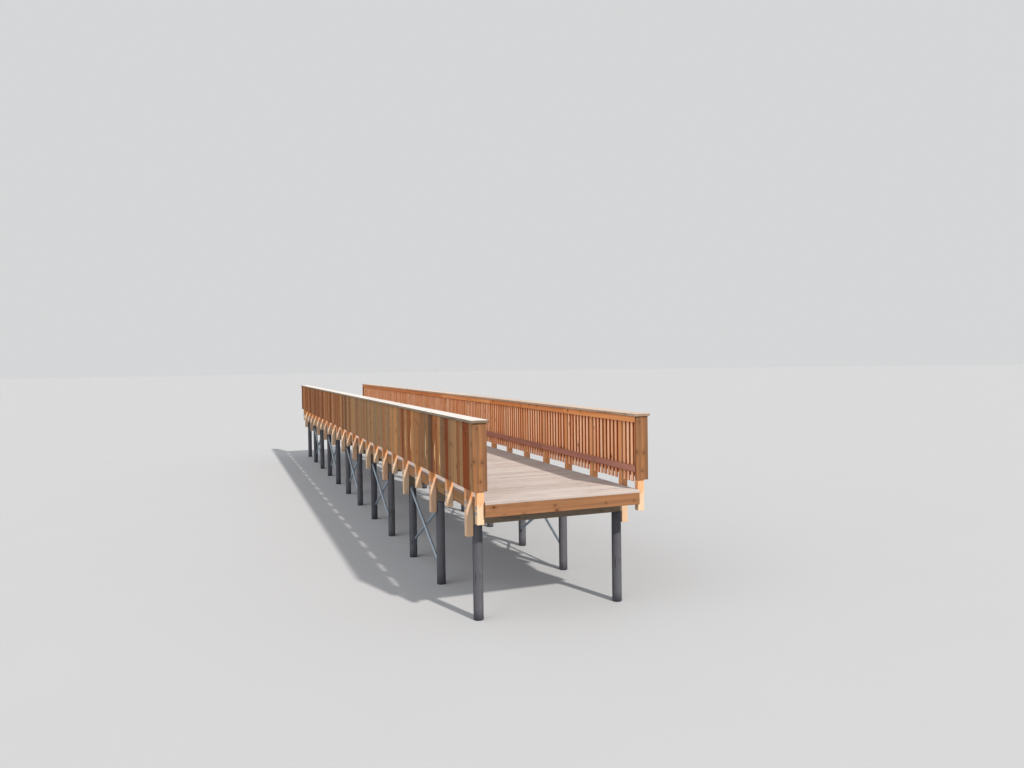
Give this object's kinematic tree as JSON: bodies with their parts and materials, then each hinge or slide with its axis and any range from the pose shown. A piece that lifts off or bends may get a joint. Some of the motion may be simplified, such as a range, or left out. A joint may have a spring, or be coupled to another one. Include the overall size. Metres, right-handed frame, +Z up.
{
  "type": "wooden footbridge",
  "caption": "Straight timber footbridge on pile bents, with a board deck and tall boarded parapets under wide flat caps.",
  "frame": {"origin": "middle of the bridge at the level of the pile feet", "axes": "+X along the bridge towards its near end, +Y towards its right parapet, +Z up"},
  "size_m": [23.194, 2.77, 2.92],
  "materials": {
    "deck_boards": "rough sawn",
    "beam_timber": "rough sawn",
    "bent_timber": "rough sawn",
    "pile_timber": "rough, weathered",
    "brace_tube": "dull galvanised",
    "post_timber": "planed",
    "cap_timber": "planed, silvered",
    "rail_timber": "planed",
    "slat_timber": "planed",
    "outer_boards": "rough sawn"
  },
  "bodies": {
    "root": {"deck": "deck_boards", "left_edge_beam": "beam_timber", "right_edge_beam": "beam_timber", "inner_beams": "beam_timber", "near_end_board": "beam_timber", "far_end_board": "beam_timber", "crossheads": "bent_timber", "left_piles": "pile_timber", "right_piles": "pile_timber", "left_braces": "brace_tube", "right_braces": "brace_tube", "left_long_posts": "post_timber", "right_long_posts": "post_timber", "left_short_posts": "post_timber", "right_short_posts": "post_timber", "left_cap": "cap_timber", "right_cap": "cap_timber", "left_upper_rail": "rail_timber", "right_upper_rail": "rail_timber", "left_lower_rail": "rail_timber", "right_lower_rail": "rail_timber", "left_slats": "slat_timber", "right_slats": "slat_timber", "left_outer_rails": "rail_timber", "right_outer_rails": "rail_timber", "left_boarding": "outer_boards", "right_boarding": "outer_boards", "left_end_covers": "outer_boards", "right_end_covers": "outer_boards"}
  },
  "joints": []
}
